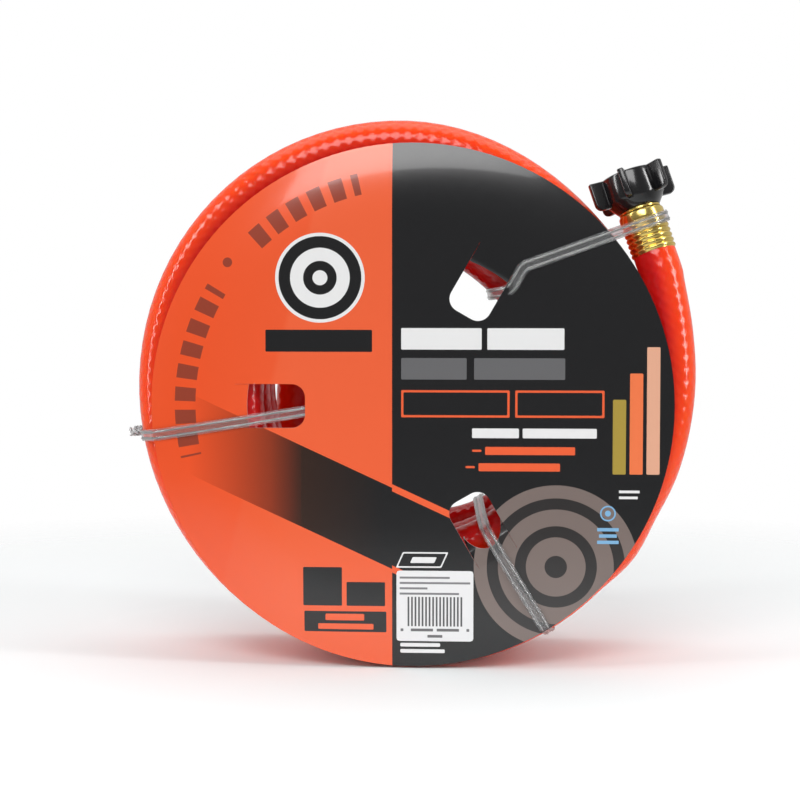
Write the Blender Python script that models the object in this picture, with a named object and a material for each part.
"""Coiled 7.62 m rinse hose with its two couplings, tied behind a round display card.

The coil stands on its edge: +X is right, -Y is the card's side, +Z is up. The origin is on the
floor, in the middle of the third foot from the front, straight below the coil's centre line.
Metres throughout.
"""

import bisect
import math

import bmesh
import bpy
from mathutils import Matrix, Vector

MM = 0.001
CLEAR = 0.3 * MM            # gap between pieces that touch

# Hose
HOSE_OD = 23.3 * MM
HOSE_BORE = 15.9 * MM
CRIMPED_OD = 21.4 * MM      # the hose where a ferrule squeezes it

# Coil: three layers, wound rear to front, front to rear and rear to front
COIL_INNER_RADIUS = 88.9 * MM
TURN_GAP = 0.5 * MM
OVAL = 2.3 * MM             # how far the loops are from round
OVAL_ANGLE = math.radians(122)
DENT = 3.8 * MM             # where the turns give way to the nut's wings
DENT_ANGLE = math.radians(42)
DENT_REACH = math.radians(50)
COIL_SEGMENTS = 24          # in each turn
COIL_SIDES = 6
WHOLE_TURNS = 10
INNER_END_ANGLE = math.radians(285)
OUTER_END_ANGLE = math.radians(315)
INNER_LAYER_TURNS = 2.9
OUTER_END_SETBACK = 0.21    # of a turn's width, behind the front turn
INNER_END_DRIFT = 7 * MM    # how far the inner end leans into the hole
DRIFT_TURNS = 0.3
CLIMB_TURNS = 0.5
FOOT_FLAT = HOSE_OD / 10
FEET_IN_FRONT = 2           # feet between the origin's foot and the card

# Free ends of the hose
LEAD_SIDES = 12
LEAD_STEP = 24 * MM
INSIDE_FERRULE = 21.5 * MM  # hose pushed into each ferrule
CRIMP_CHAMFER = 0.8 * MM

# Ferrules
FERRULE_OD = 24.8 * MM
FERRULE_WALL = 1.3 * MM
FERRULE_LENGTH = 24.0 * MM
FERRULE_LIP = 1.2 * MM
RIDGES = 6
RIDGE_DEPTH = 0.8 * MM
RIDGE_PITCH = 2.9 * MM

# Stems: the barbed tailpiece inside each end of the hose
STEM_BORE = 12.6 * MM
BARB_DEPTH = 0.6 * MM
BARBS = 4
STEM_START = 2.5 * MM       # the stem's end, inside the ferrule
NECK_OD = 14.6 * MM
COLLAR_OD = 22.8 * MM
COLLAR_THICKNESS = 1.2 * MM

# Swivel nut, for a 3/4 in garden hose thread
NUT_HEIGHT = 20.0 * MM
NUT_WALL = 2.5 * MM
NUT_NECK_OD = 23.6 * MM
NUT_NECK_RISE = 5.0 * MM
NUT_SHOULDER = 3.2 * MM
SOCKET_OD = 27.2 * MM
THREAD_DEPTH = 1.1 * MM
THREAD_PITCH = 2.2 * MM
THREAD_TURNS = 4
NUT_CHAMFER = 0.8 * MM
SWIVEL_NECK_OD = 17.0 * MM
FLANGE_OD = 23.4 * MM
FLANGE_THICKNESS = 1.6 * MM
WINGS = 6
WING_SPAN = 46.8 * MM
WING_THICKNESS = 3.4 * MM
WING_HEIGHT = 15.6 * MM
WING_CORNER = 3.6 * MM
WING_ROOT = 1.5 * MM        # how deep a wing is set into the body
WING_PHASE = math.radians(-11)
WASHER_OD = 25.4 * MM
WASHER_BORE = 14.0 * MM
WASHER_THICKNESS = 3.0 * MM

# Male coupling
MALE_THREAD_OD = 26.6 * MM
MALE_THREAD_TURNS = 5
MALE_HEX = 27.0 * MM        # across flats
MALE_HEX_HEIGHT = 5.0 * MM
MALE_TIP = 2.0 * MM         # plain land beyond the thread

# Card
CARD_RADIUS = 140.8 * MM
CARD_THICKNESS = 0.6 * MM
CARD_GAP = 0.35 * MM        # to the front turn of the hose
CARD_X = 3.7 * MM
CARD_FLOOR_GAP = 1.1 * MM
CARD_SEGMENTS = 64
FLAT_RADIUS = 100 * MM      # beyond this the rim dishes back
DISH = 7 * MM
DISH_ANGLE = math.radians(320)   # where the rim stays flat
DISH_RINGS = 3
WINDOW_ANGLES = tuple(math.radians(a) for a in (180, 60, 300))
WINDOW_WIDTH = 23.6 * MM
WINDOW_INNER = 56.7 * MM
WINDOW_MARGIN = 0.1 * MM    # from the middle of the inner turn to the window's outer side
WINDOW_CORNER = 7.2 * MM
FLAP_THICKNESS = 0.5 * MM
FLAP_LENGTH = 23 * MM
FLAP_SIDE_GAP = 0.4 * MM
FLAP_ROOT = 2.5 * MM

# Sticker, from the card's centre
STICKER_SIZE = (41.4 * MM, 38.3 * MM)
STICKER_CENTRE = (13.2 * MM, -107.7 * MM)
STICKER_THICKNESS = 0.3 * MM
STICKER_STEPS = 5

# Ties
TIE_WIDTH = 6.2 * MM
TIE_THICKNESS = 1.3 * MM
WIRE_SIZE = 0.7 * MM
WIRE_SPACING = 3.4 * MM
WIRE_COVER = 0.3 * MM       # tape left outside each wire's groove
TAIL_LENGTH = 13 * MM
TAIL_BEND = 4 * MM
TAIL_LIFT = 1.5 * MM        # where the tails leave, off the tight route
WIRE_END = 3 * MM
TIE_PASS = 4 * MM           # how far behind the card the left tie passes
TIE_TOLERANCE = 0.3 * MM    # a bend is a row of flats, this much off at most

Y_AXIS = Vector((0, 1, 0))
Z_AXIS = Vector((0, 0, 1))

# Values worked out from the sizes above
PITCH = HOSE_OD + TURN_GAP
TOTAL_TURNS = WHOLE_TURNS + (OUTER_END_ANGLE - INNER_END_ANGLE) / math.tau
LAYER_TURNS = (TOTAL_TURNS - INNER_LAYER_TURNS + OUTER_END_SETBACK) / 2
FRONT_TURN = INNER_LAYER_TURNS
REAR_TURN = INNER_LAYER_TURNS + LAYER_TURNS
FOOT_TURN = TOTAL_TURNS - (OUTER_END_ANGLE - math.radians(270)) / math.tau
FRONT_Y = -PITCH * (FEET_IN_FRONT + OUTER_END_SETBACK + TOTAL_TURNS - FOOT_TURN)
REAR_Y = FRONT_Y + PITCH * LAYER_TURNS
INNER_END_Y = FRONT_Y + PITCH * INNER_LAYER_TURNS


def out_of_round(angle):
    """How far the loops stand out from a circle at this angle."""
    away = math.remainder(angle - DENT_ANGLE, math.tau) / DENT_REACH
    dent = DENT * (1 + math.cos(math.pi * away)) / 2 if abs(away) < 1 else 0.0
    return OVAL * math.cos(2 * (angle - OVAL_ANGLE)) - dent


COIL_OUTER_RADIUS = COIL_INNER_RADIUS + 2 * PITCH
WINDOW_OUTER = COIL_INNER_RADIUS + WINDOW_MARGIN
COIL_Z = COIL_OUTER_RADIUS + out_of_round(math.radians(270)) + HOSE_OD / 2 - FOOT_FLAT
CARD_FRONT_Y = FRONT_Y - HOSE_OD / 2 - CARD_GAP - CARD_THICKNESS
CARD_Z = CARD_RADIUS + CARD_FLOOR_GAP


def smooth_step(value):
    value = min(max(value, 0.0), 1.0)
    return value * value * (3 - 2 * value)


def winding(turns):
    """The hose's centre so many turns after its inner end."""
    angle = INNER_END_ANGLE + math.tau * turns
    radius = COIL_INNER_RADIUS + out_of_round(angle)
    for reversal in (FRONT_TURN, REAR_TURN):
        radius += PITCH * smooth_step((turns - reversal) / CLIMB_TURNS + 0.5)
    radius -= INNER_END_DRIFT * max(0.0, 1 - turns / DRIFT_TURNS) ** 2
    if turns < REAR_TURN:
        y = FRONT_Y + PITCH * abs(turns - FRONT_TURN)
    else:
        y = REAR_Y - PITCH * (turns - REAR_TURN)
    return Vector((radius * math.cos(angle), y, COIL_Z + radius * math.sin(angle)))


def coil_path(points_per_turn):
    """Points along the coil, with a straight run of one diameter at each end."""
    steps = round(TOTAL_TURNS * points_per_turn)
    path = [winding(TOTAL_TURNS * i / steps) for i in range(steps + 1)]
    tiny = TOTAL_TURNS / steps / 50
    start = (winding(0) - winding(tiny)).normalized()
    end = (winding(TOTAL_TURNS) - winding(TOTAL_TURNS - tiny)).normalized()
    return [path[0] + start * HOSE_OD] + path + [path[-1] + end * HOSE_OD]


def beside_turn(radius, y, angle, out, back):
    """A point in degrees round the coil, and millimetres out from a turn and behind it."""
    turn = math.radians(angle)
    reach = radius + out * MM
    return Vector((reach * math.cos(turn), y + back * MM, COIL_Z + reach * math.sin(turn)))


# Routes of the two free ends, from the coil to the ferrule, chosen by hand
OUTER_ROUTE = [beside_turn(COIL_OUTER_RADIUS, FRONT_Y, *p) for p in (
    (333.8, 3.3, 3.3), (343.7, 5.2, 2.3), (353.7, 6.8, 1.9), (3.7, 8.8, 1.9), (14.0, 11.2, 2.9),
    (23.8, 15.3, 5.4))]
OUTER_FERRULE_AT = beside_turn(COIL_OUTER_RADIUS, FRONT_Y, 29.66, 18.3, 8.5)
OUTER_FERRULE_AXIS = Vector((-0.3115, 0.2115, 0.927)).normalized()
INNER_ROUTE = [beside_turn(COIL_INNER_RADIUS, INNER_END_Y, *p) for p in (
    (255.2, -4.9, 2.9), (240.2, -7.5, 4.9), (225.3, -11.2, 7.4), (210.4, -15.7, 9.9),
    (195.1, -19.7, 12.4), (179.8, -22.1, 14.4), (168.1, -22.8, 15.9))]
INNER_FERRULE_AT = beside_turn(COIL_INNER_RADIUS, INNER_END_Y, 158.7, -22.3, 16.8)
INNER_FERRULE_AXIS = Vector((0.2, 0.03, 0.98)).normalized()


def spline(points, step):
    """Evenly spaced points on a smooth curve through the given points."""
    dense = []
    padded = [2 * points[0] - points[1]] + points + [2 * points[-1] - points[-2]]
    for a, b, c, d in zip(padded, padded[1:], padded[2:], padded[3:]):
        for i in range(16):
            t = i / 16
            dense.append(0.5 * (2 * b + (c - a) * t + (2 * a - 5 * b + 4 * c - d) * t ** 2
                                + (3 * b - a - 3 * c + d) * t ** 3))
    dense.append(points[-1])
    lengths = [0.0]
    for a, b in zip(dense, dense[1:]):
        lengths.append(lengths[-1] + (b - a).length)
    count = max(2, round(lengths[-1] / step))
    even = [dense[0]]
    for i in range(1, count):
        target = lengths[-1] * i / count
        j = bisect.bisect_right(lengths, target)
        share = (target - lengths[j - 1]) / (lengths[j] - lengths[j - 1])
        even.append(dense[j - 1].lerp(dense[j], share))
    return even + [dense[-1]]


def lead_path(coil_end, before, route, ferrule_at, axis):
    """A free end: from the coil's straight end, along the route, into the ferrule."""
    away = (coil_end - before).normalized()
    start = coil_end + away * CLEAR
    mouth = ferrule_at - axis * CRIMP_CHAMFER
    free = spline([start + away * HOSE_OD / 2] + route + [mouth - axis * HOSE_OD / 2], LEAD_STEP)
    path = [start] + free + [mouth]
    squeezed = [ferrule_at - axis * CLEAR, ferrule_at + axis * INSIDE_FERRULE]
    radii = [HOSE_OD / 2] * len(path) + [CRIMPED_OD / 2] * 2
    return path + squeezed, radii


def path_length(path):
    return sum((b - a).length for a, b in zip(path, path[1:]))


def least_gap(path, points_per_turn):
    """The least gap between parts of the tube more than half a turn apart."""
    least = math.inf
    for i, a in enumerate(path):
        for b in path[i + points_per_turn // 2:]:
            least = min(least, (a - b).length)
    return least - HOSE_OD


# Mesh helpers ---------------------------------------------------------------------------------

def clear_scene():
    for item in list(bpy.data.objects):
        bpy.data.objects.remove(item, do_unlink=True)


def material(name, colour, roughness, metallic=0.0):
    made = bpy.data.materials.new(name)
    made.use_nodes = True
    shader = made.node_tree.nodes["Principled BSDF"]
    shader.inputs["Base Color"].default_value = (*colour, 1.0)
    shader.inputs["Roughness"].default_value = roughness
    shader.inputs["Metallic"].default_value = metallic
    made.diffuse_color = (*colour, 1.0)
    return made


def finish(bm, name, made_of, smooth=True):
    """Turn a bmesh into a named object with its faces pointing out."""
    bmesh.ops.recalc_face_normals(bm, faces=bm.faces[:])
    mesh = bpy.data.meshes.new(name)
    bm.to_mesh(mesh)
    bm.free()
    mesh.materials.append(made_of)
    if smooth:
        mesh.shade_smooth()
        mesh.set_sharp_from_angle(angle=math.radians(40))
    piece = bpy.data.objects.new(name, mesh)
    bpy.context.scene.collection.objects.link(piece)
    return piece


def cutter(bm, name):
    piece = finish(bm, name, bpy.data.materials["guide"], smooth=False)
    piece.hide_render = True
    piece.display_type = "WIRE"
    return piece


def combine(piece, other, operation):
    step = piece.modifiers.new(operation.lower(), "BOOLEAN")
    step.operation = operation
    step.object = other
    step.solver = "EXACT"


def join_rings(bm, rings, closed=False):
    """Quads between neighbouring rings of as many vertices."""
    pairs = list(zip(rings, rings[1:]))
    if closed:
        pairs.append((rings[-1], rings[0]))
    for ring, following in pairs:
        count = len(ring)
        for i in range(count):
            j = (i + 1) % count
            bm.faces.new((ring[i], ring[j], following[j], following[i]))


def directions(path):
    """The tube's direction at each point of its path."""
    runs = [(b - a).normalized() for a, b in zip(path, path[1:])]
    middle = [(a + b).normalized() for a, b in zip(runs, runs[1:])]
    return [runs[0]] + middle + [runs[-1]]


def hose(name, path, radii, bore, sides, made_of):
    """A hollow tube along a path, with an edge of its section facing the card."""
    bm = bmesh.new()
    skins = ([], [])
    for point, along, radius in zip(path, directions(path), radii):
        deep = (Y_AXIS - along * Y_AXIS.dot(along)).normalized()
        out = deep.cross(along)
        for rings, size in zip(skins, (radius, bore)):
            ring = []
            for k in range(sides):
                turn = math.tau * k / sides
                ring.append(bm.verts.new(point + size * (math.cos(turn) * deep + math.sin(turn) * out)))
            rings.append(ring)
    for rings in skins:
        join_rings(bm, rings)
    for end in (0, -1):
        join_rings(bm, [skins[0][end], skins[1][end]])
    return finish(bm, name, made_of)


def turned(name, profile, made_of, segments=24, frame=Matrix()):
    """A ring turned from a closed profile of radius and height, about the frame's Z axis."""
    bm = bmesh.new()
    rings = []
    for k in range(segments):
        turn = math.tau * k / segments
        rings.append([bm.verts.new((r * math.cos(turn), r * math.sin(turn), h)) for r, h in profile])
    join_rings(bm, rings, closed=True)
    piece = finish(bm, name, made_of)
    piece.matrix_world = frame
    return piece


def extruded(bm, outline, place, depth):
    """A prism in a bmesh: outline points go through place(x, y, level)."""
    count = len(outline)
    low = [bm.verts.new(place(x, y, 0.0)) for x, y in outline]
    high = [bm.verts.new(place(x, y, depth)) for x, y in outline]
    bm.faces.new(low)
    bm.faces.new(list(reversed(high)))
    for i in range(count):
        j = (i + 1) % count
        bm.faces.new((low[i], high[i], high[j], low[j]))


def fitting_frame(base, axis):
    """A frame at a ferrule's mouth: Z along the fitting, X towards the viewer."""
    toward = (-Y_AXIS + axis * Y_AXIS.dot(axis)).normalized()
    side = axis.cross(toward)
    return Matrix.Translation(base) @ Matrix((toward, side, axis)).transposed().to_4x4()


# Couplings ------------------------------------------------------------------------------------

def ferrule_profile():
    outer = FERRULE_OD / 2
    inner = outer - FERRULE_WALL
    lip_bore = NECK_OD / 2 + CLEAR
    profile = [(inner, 0.0), (outer - RIDGE_DEPTH, 0.0)]
    for k in range(RIDGES):
        foot = RIDGE_PITCH * (k + 0.15)
        profile += [(outer, foot + RIDGE_PITCH * 0.25), (outer, foot + RIDGE_PITCH * 0.5),
                    (outer - RIDGE_DEPTH, foot + RIDGE_PITCH * 0.8)]
    band = RIDGE_PITCH * RIDGES + RIDGE_DEPTH
    profile += [(outer, band + RIDGE_DEPTH), (outer, FERRULE_LENGTH - RIDGE_DEPTH),
                (outer - RIDGE_DEPTH, FERRULE_LENGTH), (lip_bore, FERRULE_LENGTH),
                (lip_bore, FERRULE_LENGTH - FERRULE_LIP), (inner, FERRULE_LENGTH - FERRULE_LIP)]
    return profile


def barb_profile():
    """The stem's outside from its tip to the ferrule's lip, and its collar."""
    top = HOSE_BORE / 2 - CLEAR
    reach = INSIDE_FERRULE - STEM_START
    profile = [(top - BARB_DEPTH, STEM_START)]
    for k in range(BARBS):
        start = STEM_START + reach * k / BARBS
        profile += [(top, start + reach / BARBS * 0.8), (top - BARB_DEPTH, start + reach / BARBS * 0.85)]
    profile[-1] = (NECK_OD / 2, profile[-1][1])
    collar = FERRULE_LENGTH + CLEAR
    profile += [(NECK_OD / 2, collar), (COLLAR_OD / 2, collar),
                (COLLAR_OD / 2, collar + COLLAR_THICKNESS)]
    return profile, collar + COLLAR_THICKNESS


def thread_profile(root, crest, start, pitch, turns):
    """Ring-shaped threads between two radii."""
    profile = []
    for k in range(turns):
        foot = start + pitch * k
        profile += [(root, foot), (crest, foot + pitch * 0.3),
                    (crest, foot + pitch * 0.5), (root, foot + pitch * 0.8)]
    return profile


def swivel_sizes():
    """Heights along the swivel coupling, from the ferrule's mouth."""
    _, collar_top = barb_profile()
    nut_foot = collar_top + CLEAR
    flange_foot = nut_foot + NUT_SHOULDER + CLEAR
    washer_foot = flange_foot + FLANGE_THICKNESS + CLEAR
    return collar_top, nut_foot, flange_foot, washer_foot


def make_swivel_stem(frame, brass):
    profile, collar_top = barb_profile()
    _, _, flange_foot, washer_foot = swivel_sizes()
    flange_top = washer_foot - CLEAR
    profile += [(SWIVEL_NECK_OD / 2, collar_top), (SWIVEL_NECK_OD / 2, flange_foot),
                (FLANGE_OD / 2, flange_foot), (FLANGE_OD / 2, flange_top),
                (STEM_BORE / 2, flange_top), (STEM_BORE / 2, STEM_START)]
    return turned("swivel_stem", profile, brass, frame=frame)


def make_nut(frame, plastic):
    _, foot, _, washer_foot = swivel_sizes()
    top = foot + NUT_HEIGHT
    shoulder = foot + NUT_SHOULDER
    bore = SWIVEL_NECK_OD / 2 + CLEAR
    socket = SOCKET_OD / 2
    body = socket + NUT_WALL
    thread_start = washer_foot + WASHER_THICKNESS + CLEAR
    profile = [(bore, foot), (NUT_NECK_OD / 2, foot), (body - NUT_CHAMFER, foot + NUT_NECK_RISE),
               (body, foot + NUT_NECK_RISE + NUT_CHAMFER), (body, top - NUT_CHAMFER),
               (body - NUT_CHAMFER, top), (socket, top)]
    profile += reversed(thread_profile(socket, socket - THREAD_DEPTH, thread_start, THREAD_PITCH,
                                       THREAD_TURNS))
    profile += [(socket, shoulder), (bore, shoulder)]
    nut = turned("swivel_nut", profile, plastic, frame=frame)

    bm = bmesh.new()
    inner = body - WING_ROOT
    outer = WING_SPAN / 2
    wing_foot = top - WING_HEIGHT
    outline = [(inner, top), (inner, wing_foot), (outer - WING_CORNER, wing_foot)]
    for k in (1, 2):
        turn = math.radians(30 * k)
        outline.append((outer - WING_CORNER + WING_CORNER * math.sin(turn),
                        wing_foot + WING_CORNER - WING_CORNER * math.cos(turn)))
    outline += [(outer, wing_foot + WING_CORNER), (outer, top)]
    for k in range(WINGS):
        turn = WING_PHASE + math.tau * k / WINGS
        out = Vector((math.cos(turn), math.sin(turn), 0))
        side = Vector((-math.sin(turn), math.cos(turn), 0))
        extruded(bm, outline, lambda r, h, level: out * r + side * level + Z_AXIS * h
                 - side * WING_THICKNESS / 2, WING_THICKNESS)
    wings = cutter(bm, "wing_guide")
    wings.matrix_world = frame
    combine(nut, wings, "UNION")
    return nut


def make_washer(frame, rubber):
    _, _, _, foot = swivel_sizes()
    top = foot + WASHER_THICKNESS
    profile = [(WASHER_BORE / 2, foot), (WASHER_OD / 2, foot), (WASHER_OD / 2, top),
               (WASHER_BORE / 2, top)]
    return turned("hose_washer", profile, rubber, frame=frame)


def make_male_coupling(frame, brass):
    profile, collar_top = barb_profile()
    start = collar_top + MALE_HEX_HEIGHT
    root = MALE_THREAD_OD / 2 - THREAD_DEPTH
    tip = start + THREAD_PITCH * MALE_THREAD_TURNS + MALE_TIP
    # the collar is made by the hexagon's prism, so the turned part passes under it
    profile = profile[:-2] + [(root, profile[-2][1])]
    profile += thread_profile(root, MALE_THREAD_OD / 2, start, THREAD_PITCH, MALE_THREAD_TURNS)
    profile += [(root, tip), (STEM_BORE / 2, tip), (STEM_BORE / 2, STEM_START)]
    coupling = turned("male_coupling", profile, brass, frame=frame)

    bm = bmesh.new()
    corner = MALE_HEX / 2 / math.cos(math.radians(30))
    hexagon = [(corner * math.cos(math.radians(60 * k)), corner * math.sin(math.radians(60 * k)))
               for k in range(6)]
    hexagon_foot = collar_top - COLLAR_THICKNESS
    extruded(bm, hexagon, lambda x, y, level: Vector((x, y, hexagon_foot + level)),
             COLLAR_THICKNESS + MALE_HEX_HEIGHT)
    block = cutter(bm, "hexagon_guide")
    block.matrix_world = frame
    hole = cutter(bmesh.new(), "bore_guide")
    hole_mesh = bmesh.new()
    bmesh.ops.create_cone(hole_mesh, cap_ends=True, segments=24, radius1=root - MM, radius2=root - MM,
                          depth=4 * MALE_HEX_HEIGHT, matrix=Matrix.Translation((0, 0, hexagon_foot)))
    hole_mesh.to_mesh(hole.data)
    hole_mesh.free()
    hole.matrix_world = frame
    combine(block, hole, "DIFFERENCE")
    combine(coupling, block, "UNION")
    return coupling


# Card -----------------------------------------------------------------------------------------

def dish(x, z):
    """How far the card's rim bends back at a point given from the card's centre."""
    reach = max(0.0, math.hypot(x, z) - FLAT_RADIUS) / (CARD_RADIUS - FLAT_RADIUS)
    return DISH * reach ** 2 * (1 - math.cos(math.atan2(z, x) - DISH_ANGLE)) / 2


def on_card(x, depth, z):
    """A point from the card's centre, so deep behind its front face, with the dish."""
    return Vector((CARD_X + x, CARD_FRONT_Y + depth + dish(x, z), CARD_Z + z))


def window_outline():
    """A window, x along its radius and y across it, with rounded inner corners."""
    half = WINDOW_WIDTH / 2
    outline = [(WINDOW_OUTER, -half), (WINDOW_OUTER, half)]
    for side, turns in ((1, (90, 120, 150, 180)), (-1, (180, 210, 240, 270))):
        for turn in turns:
            angle = math.radians(turn)
            outline.append((WINDOW_INNER + WINDOW_CORNER * (1 + math.cos(angle)),
                            side * (half - WINDOW_CORNER) + WINDOW_CORNER * math.sin(angle)))
    return outline


def flap_outline():
    """The flap from the side, curled round the inner turn: radius and depth of its middle."""
    middle = CARD_THICKNESS / 2
    bend = HOSE_OD / 2 + CARD_GAP + middle
    line = [(WINDOW_OUTER + FLAP_ROOT, middle)]
    for k in range(7):
        turn = math.radians(15 * k)
        line.append((WINDOW_OUTER - bend * math.sin(turn), middle + bend * (1 - math.cos(turn))))
    line.append((WINDOW_OUTER - bend, middle + bend + FLAP_LENGTH - bend * math.pi / 2))
    return line


def make_flap_guides(turn):
    """The flap's solid, folded back behind the card."""
    out = Vector((math.cos(turn), math.sin(turn)))
    side = Vector((-math.sin(turn), math.cos(turn)))
    line = [Vector(p) for p in flap_outline()]
    bm = bmesh.new()
    half = WINDOW_WIDTH / 2 - FLAP_SIDE_GAP
    rings = []
    for i, point in enumerate(line):
        along = (line[min(i + 1, len(line) - 1)] - line[max(i - 1, 0)]).normalized()
        normal = Vector((-along.y, along.x)) * FLAP_THICKNESS / 2
        ring = []
        for spot, across in ((point + normal, half), (point - normal, half),
                             (point - normal, -half), (point + normal, -half)):
            place = out * spot.x + side * across
            ring.append(bm.verts.new(on_card(place.x, spot.y, place.y)))
        rings.append(ring)
    join_rings(bm, rings)
    bm.faces.new(rings[0])
    bm.faces.new(rings[-1])
    return cutter(bm, f"flap_guide_{round(math.degrees(turn))}")


def make_card(board):
    """A thin disc whose rim dishes back, with three windows and their flaps."""
    bm = bmesh.new()
    radii = [FLAT_RADIUS + (CARD_RADIUS - FLAT_RADIUS) * k / DISH_RINGS for k in range(DISH_RINGS + 1)]
    faces = []
    for depth in (0.0, CARD_THICKNESS):
        rings = []
        for radius in radii:
            ring = []
            for k in range(CARD_SEGMENTS):
                turn = math.tau * (k + 0.5) / CARD_SEGMENTS
                x, z = radius * math.cos(turn), radius * math.sin(turn)
                ring.append(bm.verts.new(on_card(x, depth, z)))
            rings.append(ring)
        bm.faces.new(rings[0])
        join_rings(bm, rings)
        faces.append(rings[-1])
    join_rings(bm, faces)
    card = finish(bm, "display_card", board)
    for turn in WINDOW_ANGLES:
        out = Vector((math.cos(turn), 0, math.sin(turn)))
        side = Vector((-math.sin(turn), 0, math.cos(turn)))
        centre = Vector((CARD_X, CARD_FRONT_Y - CARD_THICKNESS, CARD_Z))
        bm = bmesh.new()
        extruded(bm, window_outline(), lambda r, w, level: centre + out * r + side * w
                 + Y_AXIS * level, 3 * CARD_THICKNESS)
        combine(card, cutter(bm, f"window_guide_{round(math.degrees(turn))}"), "DIFFERENCE")
    for turn in WINDOW_ANGLES:
        combine(card, make_flap_guides(turn), "UNION")
    return card


def make_sticker(paper):
    """A label that follows the card's front face."""
    width, height = STICKER_SIZE
    bm = bmesh.new()
    skins = []
    for depth in (-CLEAR - STICKER_THICKNESS, -CLEAR):
        grid = []
        for i in range(STICKER_STEPS + 1):
            x = STICKER_CENTRE[0] + width * (i / STICKER_STEPS - 0.5)
            grid.append([bm.verts.new(on_card(x, depth, STICKER_CENTRE[1]
                                              + height * (j / STICKER_STEPS - 0.5)))
                         for j in range(STICKER_STEPS + 1)])
        for a, b in zip(grid, grid[1:]):
            for k in range(STICKER_STEPS):
                bm.faces.new((a[k], b[k], b[k + 1], a[k + 1]))
        edge = ([row[0] for row in grid] + grid[-1][1:] + [row[-1] for row in reversed(grid[:-1])]
                + list(reversed(grid[0][1:-1])))
        skins.append(edge)
    join_rings(bm, skins)
    return finish(bm, "card_sticker", paper, smooth=False)


# Ties -----------------------------------------------------------------------------------------

def hull(points):
    """The convex outline of points in a plane, counter-clockwise."""
    ordered = sorted(set(points))
    outline = []
    for run in (ordered, list(reversed(ordered))):
        part = []
        for p in run:
            while len(part) > 1 and ((part[-1][0] - part[-2][0]) * (p[1] - part[-2][1])
                                     <= (part[-1][1] - part[-2][1]) * (p[0] - part[-2][0])):
                part.pop()
            part.append(p)
        outline += part[:-1]
    return outline


def simplified(outline, tolerance):
    """The outline with few points, none of the dropped ones further off than a tolerance."""
    kept = [outline[0]]
    waiting = []
    for p in outline[1:] + outline[:1]:
        line = p - kept[-1]
        if any(abs(line.cross(q - kept[-1])) > tolerance * line.length for q in waiting):
            kept.append(waiting[-1])
            waiting = []
        waiting.append(p)
    return kept


def tie_circles(frame, tubes):
    """Where round pieces cross a tie's plane on its own side of the coil: place and radius."""
    inverse = frame.inverted()
    circles = []
    for centres, radius in tubes:
        for centre in centres:
            spot = inverse @ centre
            for across in (-TIE_WIDTH / 2, 0.0, TIE_WIDTH / 2):
                off = spot.z - across
                if spot.x > 0 and abs(off) < radius:
                    circles.append((spot.x, spot.y, math.sqrt(radius ** 2 - off ** 2)))
    return circles


def card_points(frame, window, inner):
    """The card and its flap under a tie, outward from a point in the window: dots."""
    inverse = frame.inverted()
    first = round((inverse @ inner).x / MM)
    out = Vector((math.cos(window), math.sin(window)))
    side = Vector((-out.y, out.x))
    spots = []
    for across in (-TIE_WIDTH / 2, 0.0, TIE_WIDTH / 2):
        for k in range(2 * first, 300):
            place = frame @ Vector((k * MM / 2, 0, across))
            spot = Vector((place.x - CARD_X, place.z - CARD_Z))
            radial = spot.dot(out)
            if radial < WINDOW_INNER or spot.length > CARD_RADIUS:
                continue
            if radial > WINDOW_OUTER or abs(spot.dot(side)) > WINDOW_WIDTH / 2:
                spots += [on_card(spot.x, depth, spot.y) for depth in (0.0, CARD_THICKNESS)]
    for radial, depth in flap_outline()[1:]:
        for inward in (-FLAP_THICKNESS / 2, FLAP_THICKNESS / 2):
            for across in range(-10, 11):
                spot = out * (radial + inward) + side * across / 20 * WINDOW_WIDTH
                spots.append(on_card(spot.x, depth, spot.y))
    local = [inverse @ spot for spot in spots]
    return [(p.x, p.y, 0.0) for p in local if abs(p.z) < 0.6 * TIE_WIDTH]


def tie_frame(inner, outer):
    """A frame whose X runs outward along a tie, and whose Y runs to the rear."""
    out = (outer - inner).normalized()
    side = out.cross(Y_AXIS)
    start = inner + out * (Vector((0, 0, COIL_Z)) - inner).dot(out)
    return Matrix.Translation(start) @ Matrix((out, Y_AXIS, side)).transposed().to_4x4()


def bend(start, corner, end, steps=3):
    return [(1 - t) ** 2 * start + 2 * t * (1 - t) * corner + t ** 2 * end
            for t in (k / steps for k in range(steps + 1))]


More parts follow.
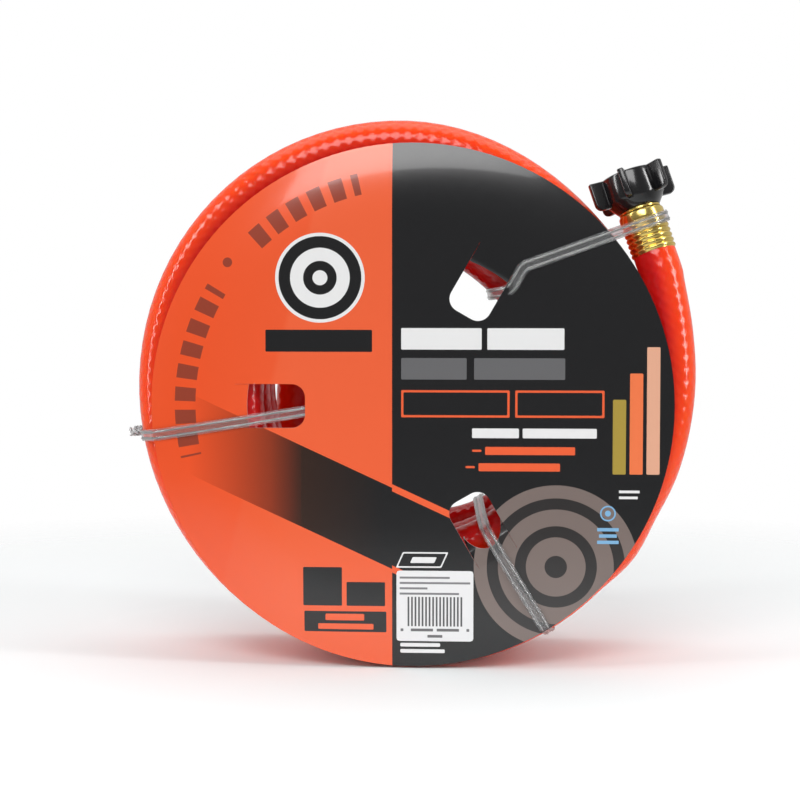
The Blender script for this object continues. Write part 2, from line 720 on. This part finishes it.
def tie_route(circles, tail_at, tail_way):
    """A tape pulled tight round circles, whose two ends leave side by side."""
    samples = []
    for x, y, radius in circles:
        reach = radius + CLEAR + TIE_TOLERANCE
        samples += [(x + reach * math.cos(math.radians(a)), y + reach * math.sin(math.radians(a)))
                    for a in range(0, 360, 15)]
    outline = simplified([Vector(p) for p in hull(samples)], TIE_TOLERANCE)
    way = Vector(tail_way).normalized()
    left = Vector((-way.y, way.x))
    # the outline's point nearest to where the tails leave
    best = None
    for i, a in enumerate(outline):
        b = outline[(i + 1) % len(outline)]
        share = min(max((Vector(tail_at) - a).dot(b - a) / (b - a).length_squared, 0.0), 1.0)
        spot = a.lerp(b, share)
        distance = (spot - Vector(tail_at)).length
        if best is None or distance < best[0]:
            best = (distance, i, spot)
    _, index, spot = best
    spot += way * TAIL_LIFT
    ring = outline[index + 1:] + outline[:index + 1]
    ring = [p for p in ring if (p - spot).length > 1.5 * TAIL_BEND]
    onward = (ring[0] - spot).normalized()
    back = (ring[-1] - spot).normalized()
    apart = left * CLEAR
    first = bend(spot + way * TAIL_BEND + apart, spot + apart, spot + onward * TAIL_BEND)
    last = bend(spot + back * TAIL_BEND, spot - apart, spot + way * TAIL_BEND - apart)
    tips = (spot + way * TAIL_LENGTH + apart, spot + way * TAIL_LENGTH - apart)
    return [tips[0]] + first + ring + last + [tips[1]]


def strip(name, frame, route, outline, made_of, lengthen=0.0):
    """Sweep a flat outline of width and height along a route in a tie's plane."""
    bm = bmesh.new()
    line = list(route)
    line[0] = line[0] + (line[0] - line[1]).normalized() * lengthen
    line[-1] = line[-1] + (line[-1] - line[-2]).normalized() * lengthen
    rings = []
    for point, along in zip(line, directions(line)):
        out = Vector((along.y, -along.x))
        ring = []
        for across, high in outline:
            spot = point + out * high
            ring.append(bm.verts.new(frame @ Vector((spot.x, spot.y, across))))
        rings.append(ring)
    join_rings(bm, rings)
    bm.faces.new(rings[0])
    bm.faces.new(rings[-1])
    return finish(bm, name, made_of, smooth=False)


def tape_section():
    """The tape from its end: two grooves on its inner face hold the wires."""
    half = TIE_WIDTH / 2
    groove = WIRE_SIZE / 2 + CLEAR
    deep = TIE_THICKNESS - WIRE_COVER
    outline = [(half, TIE_THICKNESS), (-half, TIE_THICKNESS), (-half, 0.0)]
    for centre in (-WIRE_SPACING / 2, WIRE_SPACING / 2):
        outline += [(centre - groove, 0.0), (centre - groove, deep), (centre + groove, deep),
                    (centre + groove, 0.0)]
    return outline + [(half, 0.0)]


def wire_section(centre):
    half = WIRE_SIZE / 2
    top = TIE_THICKNESS - WIRE_COVER - CLEAR
    return [(centre + half, top), (centre - half, top), (centre - half, top - WIRE_SIZE),
            (centre + half, top - WIRE_SIZE)]


def make_tie(name, frame, circles, tail_at, tail_way, plastic, steel):
    route = tie_route(circles, tail_at, tail_way)
    strip(name, frame, route, tape_section(), plastic)
    for end, centre in (("a", WIRE_SPACING / 2), ("b", -WIRE_SPACING / 2)):
        strip(f"{name}_wire_{end}", frame, route, wire_section(centre), steel, lengthen=WIRE_END)


def make_ties(tubes, plastic, steel):
    """Three ties, each from a point in a window outward and round the coil.

    The points lie so many degrees round the coil, and so far out from its inner and outer turns.
    """
    outside = COIL_OUTER_RADIUS + HOSE_OD / 2
    rear = REAR_Y + HOSE_OD / 2
    guide = (WINDOW_INNER - 3 * TIE_PASS, CARD_FRONT_Y + TIE_PASS, 0.0)
    ties = (
        ("tie_left", (188.4, -35.3), (189.0, 7.0), [guide], (outside, 0.0), (0.85, 0.53)),
        ("tie_upper_right", (54.1, -10.5), (35.9, 21.8), [], (outside, rear), (0.3, 0.95)),
        ("tie_lower_right", (301.7, -17.2), (301.5, 9.0), [], (outside, rear), (0.3, 0.95)))
    for window, (name, inner, outer, extra, tail_at, tail_way) in zip(WINDOW_ANGLES, ties):
        inner = beside_turn(COIL_INNER_RADIUS, 0, *inner, 0)
        outer = beside_turn(COIL_OUTER_RADIUS, 0, *outer, 0)
        frame = tie_frame(inner, outer)
        circles = tie_circles(frame, tubes) + card_points(frame, window, inner) + extra
        make_tie(name, frame, circles, tail_at, tail_way, plastic, steel)


# Assembly -------------------------------------------------------------------------------------

def make_coil(path, made_of):
    coil = hose("hose_coil", path, [HOSE_OD / 2] * len(path), HOSE_BORE / 2, COIL_SIDES, made_of)
    bm = bmesh.new()
    bmesh.ops.create_cube(bm, size=1.0)
    for vertex in bm.verts:
        vertex.co = Vector((vertex.co.x * COIL_OUTER_RADIUS, vertex.co.y * 4 * COIL_OUTER_RADIUS,
                            (vertex.co.z - 0.5) * HOSE_OD))
    combine(coil, cutter(bm, "floor_guide"), "DIFFERENCE")
    return coil


def parented(pieces, name, frame):
    """Hang pieces on an empty at a joint's axis."""
    holder = bpy.data.objects.new(name, None)
    bpy.context.scene.collection.objects.link(holder)
    holder.matrix_world = frame
    for piece in pieces:
        piece.parent = holder
        piece.matrix_parent_inverse = frame.inverted()


def main():
    clear_scene()
    bpy.data.materials.new("guide")
    pvc = material("hose_pvc", (0.90, 0.10, 0.02), 0.25)
    brass = material("brass", (0.72, 0.55, 0.20), 0.3, 1.0)
    black = material("black_plastic", (0.012, 0.012, 0.014), 0.3)
    rubber = material("rubber", (0.03, 0.03, 0.03), 0.8)
    board = material("glossy_card", (0.90, 0.25, 0.08), 0.15)
    paper = material("label_paper", (0.88, 0.88, 0.88), 0.5)
    clear = material("clear_pvc", (0.80, 0.80, 0.82), 0.2)
    steel = material("tie_wire", (0.10, 0.09, 0.08), 0.4, 1.0)

    path = coil_path(COIL_SEGMENTS)
    make_coil(path, pvc)
    outer, radii = lead_path(path[-1], path[-2], OUTER_ROUTE, OUTER_FERRULE_AT, OUTER_FERRULE_AXIS)
    bore = HOSE_BORE / 2 / math.cos(math.pi / LEAD_SIDES)   # the bore's flats clear the stems
    hose("hose_outer_lead", outer, radii, bore, LEAD_SIDES, pvc)
    inner, radii = lead_path(path[0], path[1], INNER_ROUTE, INNER_FERRULE_AT, INNER_FERRULE_AXIS)
    hose("hose_inner_lead", inner, radii, bore, LEAD_SIDES, pvc)

    swivel = fitting_frame(OUTER_FERRULE_AT, OUTER_FERRULE_AXIS)
    turned("outer_ferrule", ferrule_profile(), brass, frame=swivel)
    make_swivel_stem(swivel, brass)
    nut = make_nut(swivel, black)
    washer = make_washer(swivel, rubber)
    parented([nut, washer], "swivel_axis", swivel)

    male = fitting_frame(INNER_FERRULE_AT, INNER_FERRULE_AXIS)
    turned("inner_ferrule", ferrule_profile(), brass, frame=male)
    make_male_coupling(male, brass)

    make_card(board)
    make_sticker(paper)

    ferrule = [OUTER_FERRULE_AT + OUTER_FERRULE_AXIS * FERRULE_LENGTH * k / 24 for k in range(25)]
    tubes = [(coil_path(240), HOSE_OD / 2), (spline(outer, MM), HOSE_OD / 2),
             (spline(inner, MM), HOSE_OD / 2), (ferrule, FERRULE_OD / 2)]
    make_ties(tubes, clear, steel)

    print(f"least gap of the coil to itself: {least_gap(path, COIL_SEGMENTS) / MM:.2f} mm")
    lengths = [path_length(p) for p in (path, outer, inner)]
    print("lengths of coil, outer and inner end:", [round(v, 3) for v in lengths],
          "together", round(sum(lengths), 3), "m")
    print("coil centre", round(COIL_Z, 4), "front", round(FRONT_Y, 4), "rear", round(REAR_Y, 4),
          "card front", round(CARD_FRONT_Y, 4))


main()
